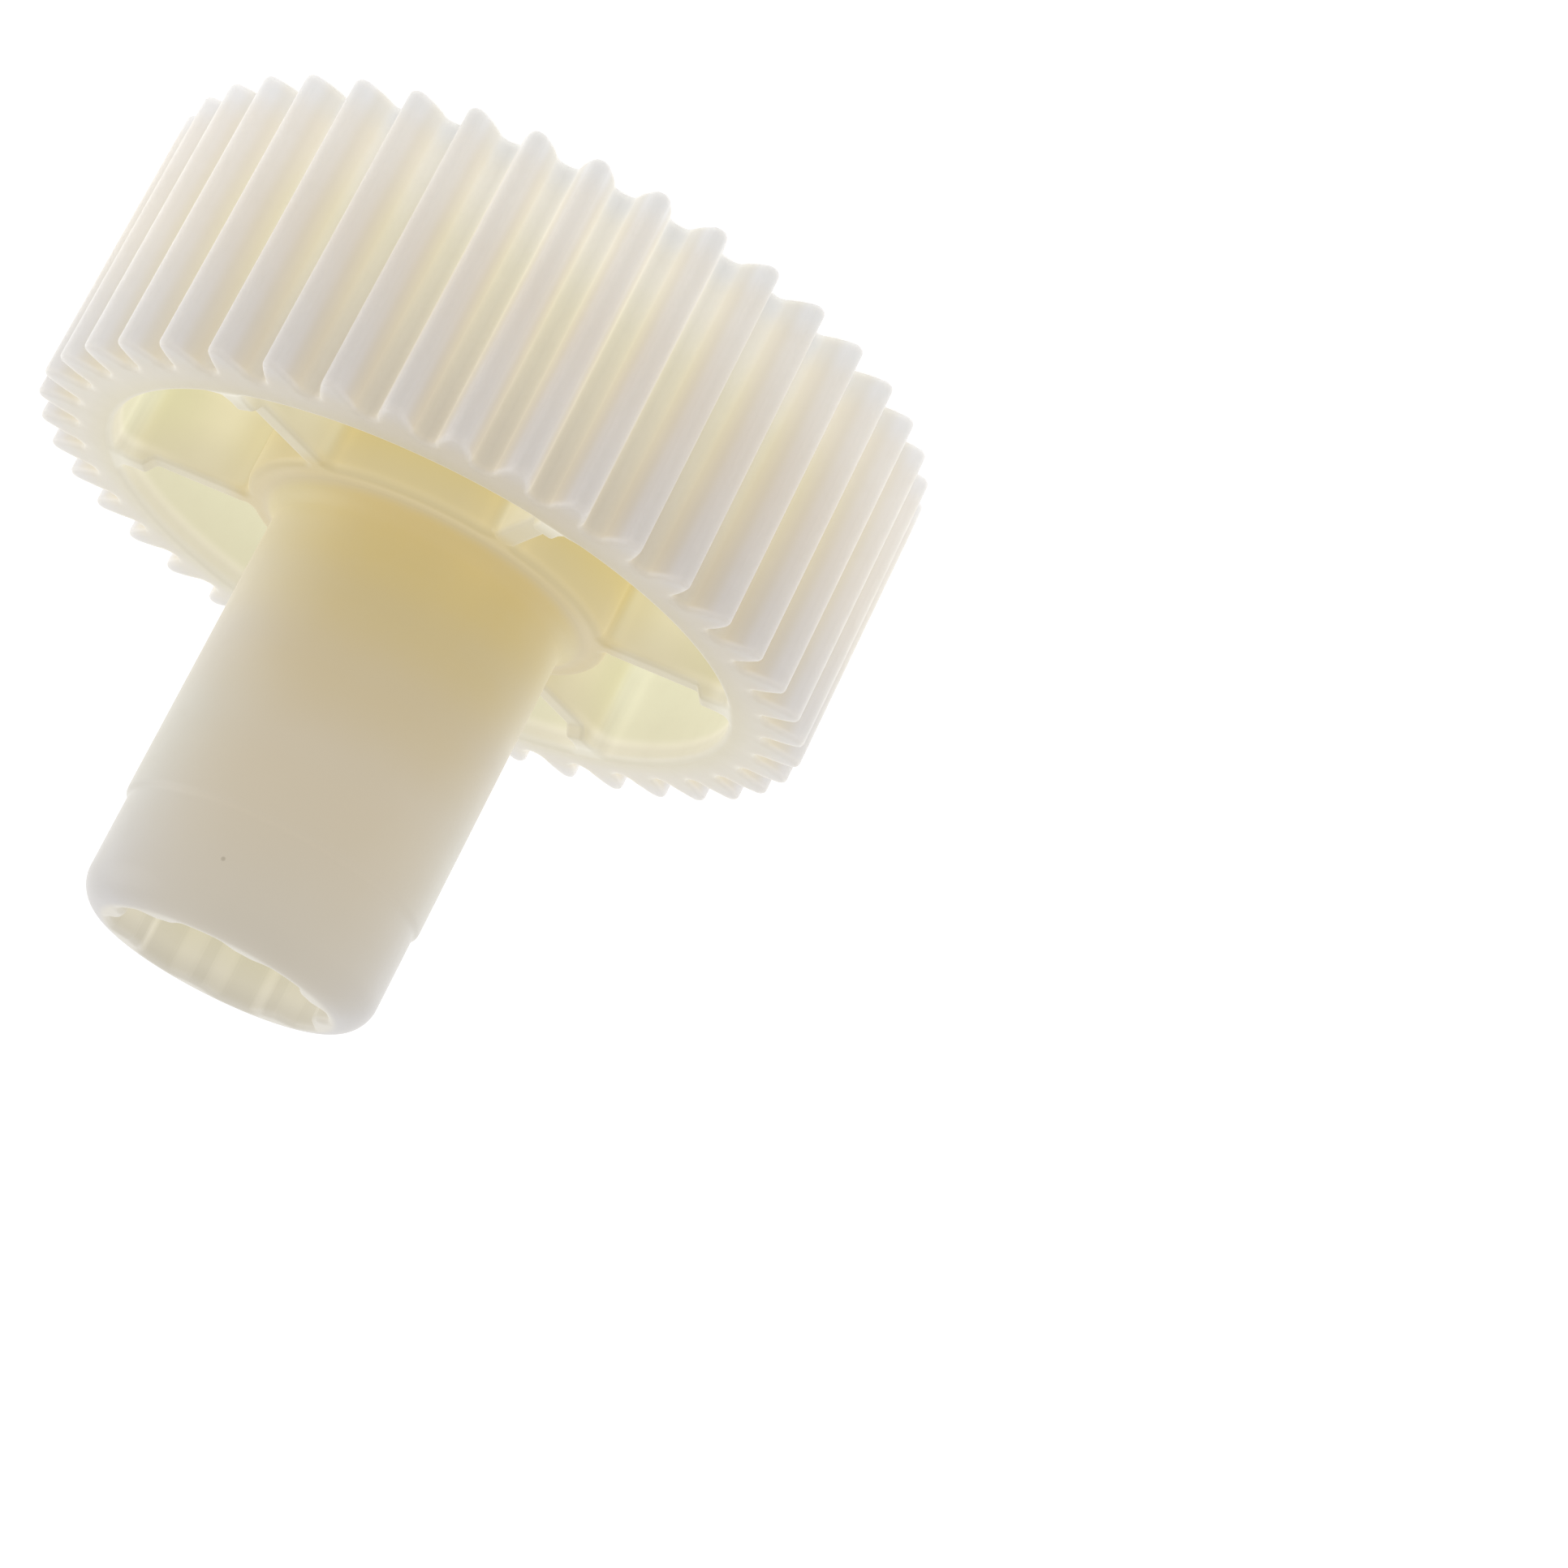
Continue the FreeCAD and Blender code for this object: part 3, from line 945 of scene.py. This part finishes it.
    grain = noise(5200.0, 2.0, 0.5)
    swell = noise(260.0, 2.0, 0.5)
    b1 = nodes.new("ShaderNodeBump")
    b1.inputs["Strength"].default_value = 0.25
    b1.inputs["Distance"].default_value = 0.00002
    links.new(grain, b1.inputs["Height"])
    b2 = nodes.new("ShaderNodeBump")
    b2.inputs["Strength"].default_value = 0.3
    b2.inputs["Distance"].default_value = 0.0001
    links.new(swell, b2.inputs["Height"])
    links.new(b1.outputs[0], b2.inputs["Normal"])
    links.new(b2.outputs[0], bsdf.inputs["Normal"])
    return m


material = nylon()

# ---------------------------------------------------------------------------
# One Blender piece for every node of the frame.
# ---------------------------------------------------------------------------
counts = {}
for name in NODES:
    lab_ = LABEL[name]
    sel = QI == lab_
    q = Q[sel]
    is_skin = QO[sel] == 0
    tri = T[TI == lab_]
    tri_skin = TO[TI == lab_] == 0
    used = np.unique(np.concatenate([q.ravel(), tri.ravel()]))
    remap = np.full(len(V), -1, np.int32)
    remap[used] = np.arange(len(used))
    loops = np.concatenate([remap[q].ravel(), remap[tri].ravel()])
    starts = np.concatenate([np.arange(len(q)) * 4, len(q) * 4 + np.arange(len(tri)) * 3])
    me = bpy.data.meshes.new(name + "_skin")
    me.vertices.add(len(used))
    me.vertices.foreach_set("co", (V[used] / MM).astype(np.float32).ravel())
    me.loops.add(len(loops))
    me.loops.foreach_set("vertex_index", loops.astype(np.int32))
    me.polygons.add(len(starts))
    me.polygons.foreach_set("loop_start", starts.astype(np.int32))
    me.update(calc_edges=True)
    me.validate()
    me.polygons.foreach_set("use_smooth", np.ones(len(me.polygons), bool))
    # shared skin normals outside, flat ones on the hidden cuts
    ln = np.empty((len(loops), 3))
    qn = N[q]
    fn = np.cross(V[q[:, 2]] - V[q[:, 0]], V[q[:, 3]] - V[q[:, 1]])
    fn /= np.maximum(np.linalg.norm(fn, axis=1), 1e-12)[:, None]
    qn = np.where(is_skin[:, None, None], qn, fn[:, None, :])
    ln[: len(q) * 4] = qn.reshape(-1, 3)
    tn = np.cross(V[tri[:, 1]] - V[tri[:, 0]], V[tri[:, 2]] - V[tri[:, 0]])
    tn /= np.maximum(np.linalg.norm(tn, axis=1), 1e-12)[:, None]
    ln[len(q) * 4 :] = np.where(tri_skin[:, None, None], N[tri], tn[:, None, :]).reshape(-1, 3)
    counts[name] = (int(len(q)), int(len(tri)))
    if len(me.loops) == len(ln):
        me.normals_split_custom_set(ln.astype(np.float32))
    else:
        print("normals skipped on", name, len(me.loops), len(ln))
    for key, full in attribute.items():
        a = me.attributes.new(key, "FLOAT", "POINT")
        a.data.foreach_set("value", full[used].astype(np.float32))
    me.materials.append(material)
    ob = bpy.data.objects.new(name + "_moulded", me)
    bpy.context.scene.collection.objects.link(ob)
    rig.replaces(ob, name)
    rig.ride(ob, "root")
    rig.slot(ob, "moulded_nylon")
print("pieces", counts, sum(a_ + b_ for a_, b_ in counts.values()), "t", round(time.time() - START, 1))

# ---------------------------------------------------------------------------
# Floor, light and camera.
# ---------------------------------------------------------------------------
floor_mesh = bpy.data.meshes.new("floor")
floor_mesh.from_pydata([(-4, -4, 0), (4, -4, 0), (4, 4, 0), (-4, 4, 0)], [], [(0, 1, 2, 3)])
floor = bpy.data.objects.new("floor", floor_mesh)
bpy.context.scene.collection.objects.link(floor)
fm = bpy.data.materials.new("pale_floor")
fm.use_nodes = True
fb = fm.node_tree.nodes["Principled BSDF"]
fb.inputs["Base Color"].default_value = (0.46, 0.46, 0.46, 1)
fb.inputs["Roughness"].default_value = 0.9
fb.inputs["Specular IOR Level"].default_value = 0.0
fb.inputs["Emission Color"].default_value = (1, 1, 1, 1)
fb.inputs["Emission Strength"].default_value = 0.68
floor_mesh.materials.append(fm)
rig.stage(floor)

world = bpy.data.worlds.new("studio")
bpy.context.scene.world = world
world.use_nodes = True
bg = world.node_tree.nodes["Background"]
bg.inputs[0].default_value = (1, 1, 1, 1)
bg.inputs[1].default_value = 1.0

# The camera stands 310 mm in front of the wheel's front face, 18 degrees above
# it, rolled so that the sleeve points down and to the left.
PSI, PHI, ALPHA = math.radians(115.627), math.radians(18.181), math.radians(8.895)
a = np.array([math.cos(PSI) * math.cos(PHI), math.sin(PSI) * math.cos(PHI), -math.sin(PHI)])
e1 = np.array([math.sin(PSI), -math.cos(PSI), 0.0])
e2 = np.cross(a, e1)
X = math.cos(ALPHA) * e1 + math.sin(ALPHA) * e2
Y = -math.sin(ALPHA) * e1 + math.cos(ALPHA) * e2
axes = np.stack([X, Y, a])            # rows: the frame's axes, seen by the camera (x right, y down, z away)
centre = np.array([-0.8684, -0.4685, 9.614]) * TIP_R / MM
eye = np.array([0, 0, FACE_Z / MM]) - axes @ centre
cam_data = bpy.data.cameras.new("camera")
cam = bpy.data.objects.new("camera", cam_data)
bpy.context.scene.collection.objects.link(cam)
m = Matrix.Identity(4)
for row in range(3):
    m[row][0] = axes[row][0]
    m[row][1] = -axes[row][1]
    m[row][2] = -axes[row][2]
    m[row][3] = eye[row]
cam.matrix_world = m
cam_data.sensor_width = 36.0
cam_data.lens = 36.0 * 4998.5 / 1932.0
cam_data.clip_start = 0.01
cam_data.clip_end = 20.0
bpy.context.scene.camera = cam


def area(name, azimuth, elevation, distance, size, watts, colour=(1, 1, 1)):
    d = bpy.data.lights.new(name, "AREA")
    d.shape = "DISK"
    d.size = size
    d.energy = watts
    d.color = colour
    o = bpy.data.objects.new(name, d)
    bpy.context.scene.collection.objects.link(o)
    az, el = math.radians(azimuth), math.radians(elevation)
    way = Vector((math.cos(az) * math.cos(el), math.sin(az) * math.cos(el), math.sin(el)))
    o.location = Vector((0, 0, 0.025)) + way * distance
    o.rotation_mode = "QUATERNION"
    o.rotation_quaternion = (-way).to_track_quat("-Z", "Y")
    return o


area("left", 175, 15, 0.9, 0.9, 2.0)
area("right", -20, 25, 0.9, 0.9, 0.24)
bpy.context.scene.view_settings.view_transform = "Standard"
bpy.context.scene.view_settings.look = "None"
bpy.context.scene.view_settings.exposure = 0.0
bpy.context.scene.view_settings.gamma = 1.0

with open("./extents.json", "w") as f:
    json.dump({"cad": CAD_BOX, "visual": [list(v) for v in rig.bounds()]}, f)
print("size", json.load(open("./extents.json")), "t", round(time.time() - START, 1))
